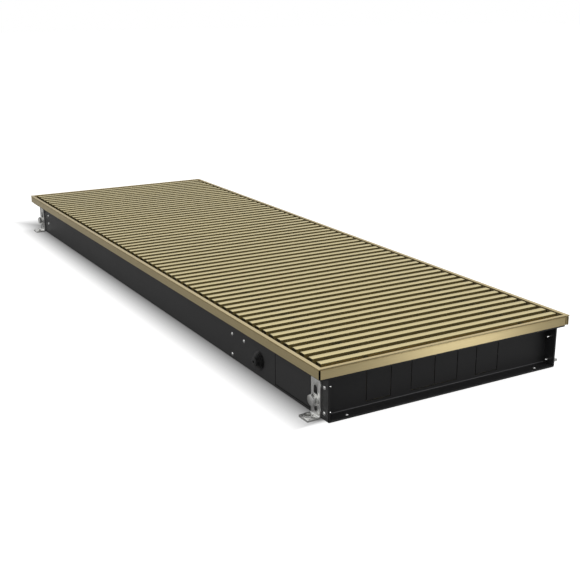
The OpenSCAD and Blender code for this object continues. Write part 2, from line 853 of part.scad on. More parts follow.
module bar_row(first, last) {
    color("#c3b284") difference() {
        translate([0, 0, bar_z]) along_x(bar_length - 2 * cap_t)
            for (i = [first:last]) translate([bar_y(i), 0]) bar_2d();
        for (side = [-1, 1])
            translate([side * link_x, (bar_y(first) + bar_y(last)) / 2, link_z])
                rod_y(spring_hole_r, bar_y(last) - bar_y(first) + 2 * bar_w);
    }
}

module grille_bars() {
    bar_row(roll_count, bar_count - 1);
}

// One bar of the part that rolls, counted from the front
module roll_bar(number) {
    bar_row(number - 1, number - 1);
}

// Caps that close the ends of the bars
module bar_caps(first, last) {
    for (side = [-1, 1]) translate([side * (bar_length - cap_t) / 2, 0, bar_z])
        along_x(cap_t) for (i = [first:last]) translate([bar_y(i), 0]) bar_outline_2d();
}

// Spacer bushes between the bars, threaded on the springs, and the bars' end caps
module grille_bushes() {
    color("#1c1c1c") {
        for (side = [-1, 1]) for (i = [roll_count:bar_count - 2])
            translate([side * link_x, bar_y(i) + bar_pitch / 2, link_z])
                along_y(bush_len) ring_2d(bush_r, spring_hole_r);
        bar_caps(roll_count, bar_count - 1);
    }
}

module grille_springs() {
    front = bar_y(roll_count) - bar_w / 2;
    rear = bar_y(bar_count - 1) + bar_w / 2;
    color("#a8a9aa") for (side = [-1, 1]) {
        translate([side * link_x, (front + rear) / 2, link_z]) rod_y(spring_r, rear - front);
        translate([side * link_x, rear + ferrule_len / 2, link_z]) rod_y(bush_r, ferrule_len);
    }
}

// One link of the part that rolls: spring through the bar, bush behind it and end caps
module roll_link(number) {
    i = number - 1;
    color("#1c1c1c") {
        for (side = [-1, 1]) translate([side * link_x, bar_y(i), link_z]) {
            rod_y(spring_r, bar_w);
            translate([0, bar_pitch / 2, 0]) rod_y(bush_r, bush_len);
            if (i == 0) translate([0, -(bar_w + ferrule_len) / 2, 0]) rod_y(bush_r, ferrule_len);
        }
        bar_caps(i, i);
    }
}

// Fins with drawn collars that touch each other along the tubes
module fin_pack() {
    fin_end = fin_start + fin_gap_count * fin_step;
    color("#c9ccce") difference() {
        union() {
            for (i = [0:fin_gap_count])
                translate([exchanger_x, fin_start + i * fin_step, exchanger_z])
                    cube([fin_w, fin_t, fin_h], center = true);
            for (x = tube_x) translate([x, (fin_start + fin_end) / 2, exchanger_z])
                rod_y(tube_r + run_play + collar_t, fin_end - fin_start + fin_t);
        }
        for (x = tube_x) translate([x, zone_mid, exchanger_z])
            rod_y(tube_r + run_play, zone_rear - zone_front);
    }
}

module exchanger_tubes() {
    color("#b87348") for (i = [0:3]) {
        outer = i == 0 || i == 3;
        front = outer ? socket_end - socket_inlay : tube_front;
        translate([tube_x[i], (front + tube_rear) / 2, exchanger_z])
            along_y(tube_rear - front) ring_2d(tube_r, tube_r - tube_wall);
    }
}

// Brazed return bend in the X-Y plane, opening towards -Y
module return_bend(x, y, turn) {
    bend_r = tube_pitch / 2;
    translate([x, y, exchanger_z]) rotate([0, 0, turn]) {
        rotate_extrude(angle = 180) translate([bend_r, 0]) ring_2d(tube_r, tube_r - tube_wall);
        for (side = [-1, 1]) translate([side * bend_r, 0, 0]) {
            translate([0, -sleeve_stop / 2, 0])
                along_y(sleeve_stop) ring_2d(tube_r + sleeve_wall, tube_r - tube_wall);
            translate([0, -(sleeve_len + sleeve_stop) / 2, 0])
                along_y(sleeve_len - sleeve_stop) ring_2d(tube_r + sleeve_wall, tube_r + run_play);
        }
    }
}

module return_bends() {
    rear = tube_rear + sleeve_stop + fit_gap;
    color("#c07a4d") {
        for (i = [0, 2]) return_bend((tube_x[i] + tube_x[i + 1]) / 2, rear, 0);
        return_bend((tube_x[1] + tube_x[2]) / 2, tube_front - sleeve_stop - fit_gap, 180);
    }
}

// Flanged bushes that seat the tubes in the partitions
module tube_bushes() {
    color("#8f2f22") for (x = tube_x) for (end = [-1, 1]) {
        seat = end < 0 ? zone_front : zone_rear;
        translate([x, seat - end * bush_lip / 2, exchanger_z])
            along_y(bush_lip) ring_2d(tube_r + 2 * bush_wall - hole_play, tube_r + run_play);
        translate([x, seat + end * sheet_t / 2, exchanger_z])
            along_y(sheet_t) ring_2d(tube_r + bush_wall - hole_play, tube_r + run_play);
    }
}

// Folded strips under the fins, each with its riveted foot on the free side
module fin_saddles() {
    rise = exchanger_z - fin_h / 2 - sheet_t;
    left = exchanger_left + fit_gap;
    right = exchanger_x + fin_w / 2;
    color("#9a9c9e") for (share = saddle_shares) translate([0, saddle_y(share), sheet_t])
        difference() {
            along_y(saddle_w) {
                translate([left, 0]) square([sheet_t, rise]);
                translate([left, rise - sheet_t]) square([right - left, sheet_t]);
                translate([right - sheet_t, 0]) square([sheet_t, rise]);
                translate([right - sheet_t, 0]) square([saddle_foot + sheet_t, sheet_t]);
            }
            translate([right + saddle_foot / 2, 0, 0])
                cylinder(r = rivet_r + hole_play, h = 4 * sheet_t, center = true);
        }
}

// Brass sockets with a threaded bore towards the front and a soldered tube behind
module pipe_sockets() {
    color("#b08d4a") difference() {
        for (x = [tube_x[0], tube_x[3]]) {
            translate([x, socket_mouth + socket_hex_len / 2, exchanger_z]) rotate([90, 0, 0])
                cylinder(r = socket_af / sqrt(3), h = socket_hex_len, center = true, $fn = 6);
            translate([x, (socket_mouth + socket_end) / 2, exchanger_z])
                rod_y(socket_neck_r, socket_len);
        }
        for (x = [tube_x[0], tube_x[3]]) {
            translate([x, socket_mouth, exchanger_z]) rod_y(socket_bore_r, 2 * socket_bore_len);
            translate([x, socket_mouth + socket_len / 2, exchanger_z])
                rod_y(tube_r - tube_wall, socket_len - over);
            translate([x, socket_end, exchanger_z]) rod_y(tube_r + run_play, 2 * socket_inlay);
        }
        translate([bleed_x, bleed_y, bleed_z]) cylinder(r = bleed_bore_r, h = over * 4, center = true);
    }
}

module bleed_valve() {
    color("#b08d4a") translate([bleed_x, bleed_y, bleed_z]) difference() {
        cylinder(r = bleed_af / sqrt(3), h = bleed_h, $fn = 6);
        cylinder(r = bleed_bore_r + run_play, h = 4 * bleed_h, center = true);
    }
}

module bleed_screw() {
    color("#c9b27a") translate([bleed_x, bleed_y, bleed_z + bleed_h + run_play]) difference() {
        union() {
            cylinder(r = bleed_head_r, h = bleed_head_h);
            translate([0, 0, over - bleed_h]) cylinder(r = bleed_bore_r, h = bleed_h);
        }
        translate([0, 0, bleed_head_h])
            cube([3 * bleed_head_r, bleed_slot_w, 2 * bleed_slot_d], center = true);
    }
}

// One curved blade at the right of the axis
module blade_2d() {
    blade_out_r = rotor_r - disc_rim;
    mid_r = (blade_out_r + blade_in_r) / 2;
    chord = (blade_out_r - blade_in_r) / 2;
    bow_r = sqrt(chord * chord + blade_bow * blade_bow);
    intersection() {
        ring_2d(blade_out_r, blade_in_r);
        rotate(blade_turn) translate([mid_r, -blade_bow]) ring_2d(bow_r + blade_t / 2, bow_r - blade_t / 2);
        rotate(blade_turn) translate([blade_in_r - 2 * over, -blade_t])
            square([rotor_r - blade_in_r + 4 * over, 4 * over]);
    }
}

// Disc of the rotor, open in the middle between the bays
module disc_2d(open) {
    difference() {
        circle(r = rotor_r);
        if (open) circle(r = blade_in_r - over);
    }
}

// Crossflow rotor along Y: inner end at the motor, stub shaft at the outer end
module fan_rotor(end) {
    inner = zone_mid + end * rotor_in;
    outer = zone_mid + end * rotor_out;
    color("#3c3f42") translate([fan_x, 0, fan_z]) difference() {
        union() {
            translate([0, (inner + outer) / 2, 0]) along_y(rotor_len)
                for (i = [0:blade_count - 1]) rotate(i * 360 / blade_count) blade_2d();
            for (i = [0:disc_bays])
                translate([0, inner + end * (disc_t / 2 + i * (rotor_len - disc_t) / disc_bays), 0])
                    along_y(disc_t) disc_2d(i > 0 && i < disc_bays);
            translate([0, inner + end * hub_len / 2, 0]) rod_y(hub_r, hub_len);
            translate([0, outer + end * stub_len / 2, 0]) rod_y(shaft_r, stub_len);
        }
        translate([0, inner, 0]) rod_y(shaft_r + run_play, 2 * (hub_len - disc_t));
    }
}

module fan_rotor_front() {
    fan_rotor(-1);
}

module fan_rotor_rear() {
    fan_rotor(1);
}

module motor_shaft() {
    color("#c8c8c8") translate([fan_x, zone_mid, fan_z])
        rod_y(shaft_r, 2 * (rotor_in + hub_len - disc_t - fit_gap));
}

// Sintered bearings inside rubber rings, held in the partitions
module fan_bearings() {
    color("#a98c5a") for (y = [part_front + sheet_t / 2, part_rear - sheet_t / 2])
        translate([fan_x, y, fan_z]) along_y(bearing_len) ring_2d(bearing_r, shaft_r + run_play);
}

module bearing_rings() {
    color("#1c1c1c") for (y = [part_front + sheet_t / 2, part_rear - sheet_t / 2])
        translate([fan_x, y, fan_z]) rubber_ring(sheet_t);
}

// Rubber ring with a groove for the sheet that holds it
module rubber_ring(sheet) {
    inner = bearing_r + run_play;
    along_y(sheet) ring_2d(ring_r - ring_groove - run_play, inner);
    for (end = [-1, 1]) translate([0, end * (sheet + ring_lip) / 2, 0])
        along_y(ring_lip) ring_2d(ring_r, inner);
}

// Motor: ribbed can with slotted ends and a boss at each end for its rings
module motor() {
    color("#55585c") translate([fan_x, zone_mid, fan_z]) difference() {
        union() {
            rod_y(motor_r, motor_len - 2 * motor_rib);
            for (end = [-1, 1]) translate([0, end * (motor_len - motor_rib) / 2, 0])
                rod_y(motor_r - motor_rib, motor_rib);
            rod_y(boss_r, motor_len + 2 * boss_len);
        }
        for (end = [-1, 1]) for (i = [0:motor_vent_count - 1])
            translate([0, end * motor_len / 2, 0]) rotate([0, i * 360 / motor_vent_count, 0])
                translate([(motor_r + boss_r) / 2, 0, 0])
                    cube([motor_r - boss_r - 4 * motor_rib, 4 * motor_rib, motor_vent_w], center = true);
        rod_y(shaft_r + run_play, motor_len + 4 * boss_len);
    }
}

module motor_rings() {
    color("#1c1c1c") for (end = [-1, 1])
        translate([fan_x, zone_mid + end * (motor_len / 2 + bracket_side), fan_z]) rubber_ring(sheet_t);
}

// Cradle: a strap on the floor with a holed upright at each end of the motor
module motor_bracket() {
    upright_y = motor_len / 2 + bracket_side;
    top = fan_z + ring_r + ring_lip * 2;
    color("#9a9c9e") translate([fan_x, zone_mid, 0]) difference() {
        union() {
            translate([0, 0, 1.5 * sheet_t])
                cube([bracket_w, 2 * upright_y + sheet_t, sheet_t], center = true);
            for (sy = [-1, 1]) {
                translate([0, sy * upright_y, (sheet_t + top) / 2])
                    cube([bracket_w, sheet_t, top - sheet_t], center = true);
                translate([0, sy * (motor_len / 2 - bracket_hole_in), 1.5 * sheet_t])
                    cube([bracket_w + 2 * bracket_foot, bracket_foot, sheet_t], center = true);
            }
        }
        for (sy = [-1, 1]) translate([0, sy * upright_y, fan_z])
            rod_y(ring_r - ring_groove, 2 * sheet_t);
        for (sx = [-1, 1]) for (sy = [-1, 1])
            translate([sx * (bracket_w + bracket_foot) / 2, sy * (motor_len / 2 - bracket_hole_in), 0])
                cylinder(r = rivet_r + hole_play, h = 6 * sheet_t, center = true);
    }
}

// Fan trough: upright, quarter turn under the rotor, and floor towards the fins
module scroll_2d() {
    floor_end = exchanger_left - fit_gap;
    translate([fan_x, fan_z]) intersection() {
        ring_2d(scroll_r + sheet_t, scroll_r);
        translate([-2 * scroll_r, -2 * scroll_r]) square(2 * scroll_r);
    }
    translate([fan_x, sheet_t]) square([floor_end - fan_x, sheet_t]);
    translate([fan_x - scroll_r - sheet_t, fan_z]) square([sheet_t, scroll_rise]);
    translate([fan_x - scroll_r - scroll_lip, fan_z + scroll_rise - sheet_t])
        square([scroll_lip, sheet_t]);
}

module scroll(end) {
    length = rotor_len + scroll_end_gap;
    color("#9a9c9e") difference() {
        translate([0, zone_mid + end * (rotor_in + rotor_len / 2), 0]) along_y(length) scroll_2d();
        for (share = scroll_shares)
            translate([exchanger_left - scroll_hole_in, zone_mid + end * (rotor_in + share * rotor_len), 0])
                cylinder(r = rivet_r + hole_play, h = 6 * sheet_t, center = true);
    }
}

module scroll_front() {
    scroll(-1);
}

module scroll_rear() {
    scroll(1);
}

// Sheet over the gap between the rotor and the fins, with its lip at the rotor
module air_guide() {
    lean = sheet_t * sin(guide_slope);
    color("#9a9c9e") {
        translate([0, zone_mid, 0]) along_y(zone_rear - zone_front - 2 * fit_gap) polygon([
            [guide_lip_x, guide_lip_z], [guide_flat_x, guide_z],
            [exchanger_left + guide_over, guide_z], [exchanger_left + guide_over, guide_z + sheet_t],
            [guide_flat_x - lean + (sheet_t - sheet_t * cos(guide_slope)) / tan(guide_slope),
                guide_z + sheet_t],
            [guide_lip_x - lean, guide_lip_z + sheet_t * cos(guide_slope)]
        ]);
        for (end = [-1, 1])
            translate([guide_tab_x, (end < 0 ? zone_front : zone_rear) - end * sheet_t / 2,
                guide_z + sheet_t / 2 - guide_tab_h / 2])
                difference() {
                    cube([guide_tab_w, sheet_t, guide_tab_h + sheet_t], center = true);
                    translate([0, 0, -sheet_t / 2]) rod_y(rivet_r + hole_play, 2 * sheet_t);
                }
    }
}

// Open plastic box on the left wall, with two posts for the lid's screws
module terminal_box() {
    mid_x = box_x + box_w / 2;
    mid_y = box_front + box_l / 2;
    post_x = box_w / 2 - post_in;
    post_y = box_l / 2 - post_in;
    color("#2f3133") difference() {
        union() {
            translate([mid_x, mid_y, box_z + box_h / 2]) difference() {
                cube([box_w, box_l, box_h], center = true);
                translate([0, 0, box_t]) cube([box_w - 2 * box_t, box_l - 2 * box_t, box_h], center = true);
            }
            for (end = [-1, 1])
                translate([mid_x + end * post_x, mid_y + end * post_y, box_z])
                    cylinder(r = post_r, h = box_h);
        }
        for (end = [-1, 1])
            translate([mid_x + end * post_x, mid_y + end * post_y, box_z + box_h])
                cylinder(r = lid_screw_r + run_play, h = 2 * lid_screw_len, center = true);
        translate([box_x, grommet_y, grommet_z]) rod_x(grommet_hollow_r + grommet_lip, 4 * box_t);
        translate([box_x, box_rivet_y, box_rivet_z]) rod_x(rivet_r + hole_play, 4 * box_t);
        translate([cable_x, box_front + box_l, cable_z]) rod_y(cable_r + fit_gap, 4 * box_t);
    }
}

module terminal_lid() {
    skirt_x = box_w - 2 * box_t - 2 * lid_play;
    skirt_y = box_l - 2 * box_t - 2 * lid_play;
    color("#3a3c3f") translate([box_x + box_w / 2, box_front + box_l / 2, box_z + box_h]) difference() {
        union() {
            translate([0, 0, lid_t / 2]) cube([box_w, box_l, lid_t], center = true);
            translate([0, 0, -lid_skirt / 2]) cube([skirt_x, skirt_y, lid_skirt], center = true);
        }
        translate([0, 0, -lid_skirt / 2 - over / 2])
            cube([skirt_x - 2 * lid_wall, skirt_y - 2 * lid_wall, lid_skirt + over], center = true);
        for (end = [-1, 1]) translate([end * (box_w / 2 - post_in), end * (box_l / 2 - post_in), 0])
            cylinder(r = lid_screw_r + hole_play, h = 4 * lid_t, center = true);
    }
}

module lid_screws() {
    color("#d8d8d6") for (end = [-1, 1])
        translate([box_x + box_w / 2 + end * (box_w / 2 - post_in),
            box_front + box_l / 2 + end * (box_l / 2 - post_in), box_z + box_h + lid_t])
            difference() {
                union() {
                    cylinder(r = lid_head_r, h = lid_head_h);
                    translate([0, 0, over / 2 - lid_screw_len])
                        cylinder(r = lid_screw_r, h = lid_screw_len);
                }
                translate([0, 0, lid_head_h])
                    cube([3 * lid_head_r, bleed_slot_w, lid_head_h], center = true);
            }
}

// Terminal strip on the floor of the box: clamping ways side by side
module terminal_block() {
    block_l = block_ways * block_pitch;
    color("#e4e1d6") translate([box_x + box_w / 2, box_front + box_l / 2, box_z + box_t]) difference() {
        translate([0, 0, block_h / 2]) cube([block_w, block_l, block_h], center = true);
        for (i = [0:block_ways - 1]) translate([0, (i + 0.5) * block_pitch - block_l / 2, 0]) {
            translate([0, 0, block_h / 3]) rod_x(way_r, 2 * block_w);
            for (side = [-1, 1]) translate([side * block_w / 4, 0, block_h])
                cylinder(r = way_r + hole_play, h = 2 * way_depth, center = true);
            if (i > 0) translate([0, -block_pitch / 2, block_h])
                cube([2 * block_w, way_r / 2, way_depth], center = true);
        }
    }
}

module terminal_screws() {
    block_l = block_ways * block_pitch;
    color("#c9b27a") translate([box_x + box_w / 2, box_front + box_l / 2, box_z + box_t + block_h])
        for (i = [0:block_ways - 1]) for (side = [-1, 1])
            translate([side * block_w / 4, (i + 0.5) * block_pitch - block_l / 2, -way_depth])
                difference() {
                    cylinder(r = way_r, h = way_depth - bleed_slot_d);
                    translate([0, 0, way_depth - bleed_slot_d])
                        cube([3 * way_r, bleed_slot_w, bleed_slot_d], center = true);
                }
}

// Cable from the terminal box through the partition and along the floor to the motor
cable_sides = 8;
drop_steps = 8;
turn_steps = 10;
function ease(t) = (1 - cos(180 * t)) / 2;
function cable_down(t) = [
    cable_x + clip_shift * ease(t), part_front + cable_lead + t * cable_drop,
    cable_z + (cable_low - cable_z) * ease(t)
];
function cable_up(t) = [
    clip_x + (fan_x - motor_r - fit_gap - clip_x) * (1 - cos(90 * t)),
    zone_mid - cable_turn * (1 - sin(90 * t)), cable_low + (fan_z - cable_low) * ease(t)
];
cable_path = concat(
    [[cable_x, box_rear - cable_in, cable_z]],
    [for (i = [0:drop_steps]) cable_down(i / drop_steps)],
    [for (i = [0:turn_steps]) cable_up(i / turn_steps)]
);
function unit(v) = v / norm(v);
function cable_way(i) = unit(cable_path[min(i + 1, len(cable_path) - 1)] - cable_path[max(i - 1, 0)]);
function cable_ring(i) =
    let (side = unit(cross(cable_way(i), [0, 0, 1])), up = cross(side, cable_way(i)))
    [for (k = [0:cable_sides - 1]) cable_path[i] + cable_r * (cos(k * 360 / cable_sides) * side
        + sin(k * 360 / cable_sides) * up)];

module motor_cable() {
    rings = len(cable_path);
    points = [for (i = [0:rings - 1]) each cable_ring(i)];
    color("#1a1a1b") polyhedron(points, concat(
        [[for (k = [0:cable_sides - 1]) k]],
        [for (i = [0:rings - 2]) for (k = [0:cable_sides - 1]) each [
            [i * cable_sides + k, (i + 1) * cable_sides + k, i * cable_sides + (k + 1) % cable_sides],
            [(i + 1) * cable_sides + k, (i + 1) * cable_sides + (k + 1) % cable_sides,
                i * cable_sides + (k + 1) % cable_sides]
        ]],
        [[for (k = [0:cable_sides - 1]) rings * cable_sides - 1 - k]]
    ));
}

// Saddle clips that hold the cable to the floor
module cable_clips() {
    inner = cable_r + fit_gap;
    rise = cable_low - sheet_t;
    color("#d8d8d6") for (share = clip_shares) translate([clip_x, clip_y(share), sheet_t]) difference() {
        along_y(clip_w) {
            translate([0, rise]) intersection() {
                ring_2d(inner + sheet_t, inner);
                translate([-2 * inner, 0]) square(4 * inner);
            }
            for (side = [-1, 1]) translate([side * (inner + sheet_t / 2), rise / 2])
                square([sheet_t, rise], center = true);
            translate([inner, 0]) square([sheet_t + clip_foot, sheet_t]);
        }
        translate([cable_r + sheet_t + clip_foot / 2, 0, 0])
            cylinder(r = rivet_r + hole_play, h = 4 * sheet_t, center = true);
    }
}

// Foot: upright on the wall with a slot, and a tab on the floor with a collared hole
module foot(side, end) {
    low = slot_low + slot_w / 2;
    high = slot_high - slot_w / 2;
    plate = wall_x + foot_gap;
    color("#b9bab8") mirror([side < 0 ? 1 : 0, 0, 0]) translate([0, end * foot_y, 0]) difference() {
        union() {
            along_y(foot_w) {
                translate([plate, foot_fold]) square([foot_t, foot_h - foot_fold]);
                translate([plate + foot_fold, foot_fold]) intersection() {
                    ring_2d(foot_fold, foot_fold - foot_t);
                    translate([-2 * foot_fold, -2 * foot_fold]) square(2 * foot_fold);
                }
                translate([plate + foot_fold, 0]) square([foot_out - foot_gap - foot_fold, foot_t]);
            }
            translate([wall_x + anchor_out, 0, 0]) cylinder(r = collar_r, h = foot_t + collar_h);
        }
        translate([wall_x + anchor_out, 0, 0]) cylinder(r = anchor_r, h = 6 * foot_t, center = true);
        for (z = [low, high]) translate([plate, 0, z]) rod_x(slot_w / 2, 4 * foot_t);
        translate([plate, 0, (low + high) / 2]) cube([4 * foot_t, slot_w, high - low], center = true);
    }
}

module foot_bolts() {
    head_x = wall_x + 2 * foot_gap + foot_t + washer_t;
    tip_x = wall_in - nut_len - bolt_tip;
    crown = head_af / 2 * crown_share;
    color("#c3c4c2") for (side = [-1, 1]) for (end = [-1, 1])
        translate([0, end * foot_y, bolt_z]) rotate([0, side * 90, 0]) {
            translate([0, 0, tip_x]) cylinder(r = bolt_r, h = head_x - tip_x + over / 2);
            translate([0, 0, head_x]) cylinder(r = head_collar_r, h = head_collar_t);
            translate([0, 0, head_x + head_collar_t]) intersection() {
                cylinder(r = head_af / sqrt(3), h = head_h, $fn = 6);
                cylinder(r1 = crown + head_h / tan(30), r2 = crown, h = head_h);
            }
        }
}

module foot_washers() {
    washer_x = wall_x + 2 * foot_gap + foot_t + washer_t / 2;
    color("#c3c4c2") for (side = [-1, 1]) for (end = [-1, 1])
        translate([side * washer_x, end * foot_y, bolt_z]) rotate([0, 90, 0])
            linear_extrude(height = washer_t, center = true) ring_2d(washer_r, bolt_r + fit_gap);
}

module foot_nuts() {
    color("#c3c4c2") for (side = [-1, 1]) for (end = [-1, 1])
        translate([side * (wall_in - nut_len / 2), end * foot_y, bolt_z]) rotate([0, 90, 0])
            linear_extrude(height = nut_len, center = true)
                ring_2d(bolt_r + nut_wall, bolt_r + run_play);
}

trough();
front_end_panel();
rear_end_panel();
front_partition();
rear_partition();
sheet_rivets();
floor_rivets();
cable_grommet();
frame_left();
frame_right();
frame_front();
frame_rear();
frame_rivets();
rest_strips();
grille_bars();
grille_bushes();
grille_springs();
roll_bar(1);  // roll_bar_1
roll_bar(2);  // roll_bar_2
roll_bar(3);  // roll_bar_3
roll_bar(4);  // roll_bar_4
roll_bar(5);  // roll_bar_5
roll_link(1);  // roll_link_1
roll_link(2);  // roll_link_2
roll_link(3);  // roll_link_3
roll_link(4);  // roll_link_4
roll_link(5);  // roll_link_5
fin_pack();
exchanger_tubes();
return_bends();
tube_bushes();
fin_saddles();
pipe_sockets();
bleed_valve();
bleed_screw();
fan_rotor_front();
fan_rotor_rear();
motor_shaft();
fan_bearings();
bearing_rings();
motor();
motor_bracket();
motor_rings();
scroll_front();
scroll_rear();
air_guide();
terminal_box();
terminal_lid();
terminal_block();
terminal_screws();
lid_screws();
motor_cable();
cable_clips();
foot(-1, -1);  // foot_front_left
foot(1, -1);  // foot_front_right
foot(-1, 1);  // foot_rear_left
foot(1, 1);  // foot_rear_right
foot_bolts();
foot_washers();
foot_nuts();
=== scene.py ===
import json
import math

import bmesh
import bpy
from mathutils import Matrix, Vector


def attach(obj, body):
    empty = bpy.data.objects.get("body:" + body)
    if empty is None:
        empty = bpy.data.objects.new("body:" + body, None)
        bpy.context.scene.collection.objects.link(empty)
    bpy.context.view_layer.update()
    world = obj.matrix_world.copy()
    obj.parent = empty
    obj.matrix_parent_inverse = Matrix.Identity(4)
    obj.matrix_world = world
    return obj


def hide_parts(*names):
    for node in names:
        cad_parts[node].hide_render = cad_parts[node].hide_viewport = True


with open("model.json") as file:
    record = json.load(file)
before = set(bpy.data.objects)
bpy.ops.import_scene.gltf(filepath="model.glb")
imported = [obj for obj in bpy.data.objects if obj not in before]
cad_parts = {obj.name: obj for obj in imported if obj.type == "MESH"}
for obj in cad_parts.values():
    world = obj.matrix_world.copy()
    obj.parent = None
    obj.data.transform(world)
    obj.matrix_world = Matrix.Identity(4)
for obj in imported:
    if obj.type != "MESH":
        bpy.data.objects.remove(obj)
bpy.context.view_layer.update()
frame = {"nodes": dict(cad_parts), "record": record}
NODES = frame["nodes"]
RECORD = frame["record"]
BODY_OF = {node: body for body, nodes in RECORD["behaviour"]["bodies"].items() for node in nodes}
SLOT_OF = {part["node"]: part["material_slot"] for part in RECORD["subparts"]}

# The camera, solved from straight edges of the photograph
PHOTO_PIXELS = 580
FOCAL_PIXELS = 970.94
SENSOR_MM = 36.0
CAMERA_AT = (-0.7709, -1.5045, 0.4979)
CAMERA_YAW = math.radians(30.2535)
CAMERA_PITCH = math.radians(16.9202)
NEAREST, FARTHEST = 0.05, 60

# Places where a look changes. Each is a range in metres over which a mask rises or falls,
# and the four values of a window are where it rises and where it falls again.
LEFT_CORNERS_X = (-0.196, -0.190)
FRAME_LIP_Z = (0.0734, 0.0736)
PAINTED_BOUNCE_Z = (0.0, 0.062)
SLOT_WALLS_Y = (0.57575, 0.5758, 0.57695, 0.57699)
PANEL_FOLD_Z = (0.0020, 0.0024, 0.0034, 0.0036)
SCORE_BOTTOM_X = (-0.18699, -0.18694, -0.1861, -0.1860)

# How far a face turns to an axis, as the range over which it comes to count
TOP_FACES = (0.985, 0.995)
UPWARD_FACES = (0.2, 0.4)
SQUARE_FACES = (0.85, 0.95)

# Painted shade: colours for cut ends, slots and scored lines, where no light gets in
CUT_END_PAINTED_SHADE = (0.006, 0.006, 0.006)
SLOT_PAINTED_SHADE = (0.001, 0.001, 0.001)

# The floor, which the camera sees white beyond these places and shadowed within them
FLOOR_SIZE = 12
FLOOR_Z = -0.0002
FLOOR_GREY = (0.42, 0.42, 0.42)
WHITE_LEFT_X = (-0.241, -0.178)
WHITE_FRONT_Y = (-0.5920, -0.5795)
WHITE_REAR_Y = (0.62, 0.72)
WHITE_RIGHT_X = (-0.10, 0.2)
FLOOR_GLOW = 0.92
FLOOR_GLOW_IN_MIRRORS = 0.10

# The world: soft light, and a backdrop that reflections see dimmer near the horizon
WHITE = (1, 1, 1, 1)
SOFT_LIGHT = 0.38
BACKDROP = 1.0
MIRRORED_FROM, MIRRORED_TO = 0.18, 1.0
HORIZON_RISE = (0.08, 0.40)

# Bright ends of the rivets inside the end panels' side flanges
MANDREL_X = 0.1804
MANDREL_Y = 0.586
MANDREL_Z = (0.0095, 0.0435)
MANDREL_PROFILE = [(0.0, 0.0017), (0.0022, 0.0017), (0.0027, 0.0014), (0.003, 0.0008)]

# Width of the rounding along the edges of the small hardware
ROUNDING = {
    "foot_front_left": 0.0004,
    "foot_front_right": 0.0004,
    "foot_rear_left": 0.0004,
    "foot_rear_right": 0.0004,
    "foot_bolts": 0.0004,
    "foot_nuts": 0.0004,
    "foot_washers": 0.0002,
    "cable_grommet": 0.0003,
}
ROUNDING_STEPS = 2

# Distance within which points are one, and angles in degrees: between faces that count as
# flat, from which an edge is rounded, and from which it stays sharp in shading
WELD = 1e-6
FLAT_WITHIN = 1.0
ROUNDED_FROM = 35
ROUNDED_SHARP_FROM = 40
TURNED_SHARP_FROM = 50


def put(name, data):
    """Makes an object and puts it in the scene."""
    obj = bpy.data.objects.new(name, data)
    bpy.context.collection.objects.link(obj)
    return obj


def aim(obj, at, direction):
    """Places a camera or lamp and turns it to look along a direction."""
    obj.location = at
    obj.rotation_mode = "QUATERNION"
    obj.rotation_quaternion = direction.to_track_quat("-Z", "Y")


def make_camera():
    data = bpy.data.cameras.new("camera")
    data.sensor_width = SENSOR_MM
    data.sensor_fit = "AUTO"
    data.lens = FOCAL_PIXELS / PHOTO_PIXELS * SENSOR_MM
    data.clip_start, data.clip_end = NEAREST, FARTHEST
    camera = put("camera", data)
    level = math.cos(CAMERA_PITCH)
    aim(camera, CAMERA_AT, Vector((math.sin(CAMERA_YAW) * level, math.cos(CAMERA_YAW) * level,
                                   -math.sin(CAMERA_PITCH))))
    bpy.context.scene.camera = camera


make_camera()


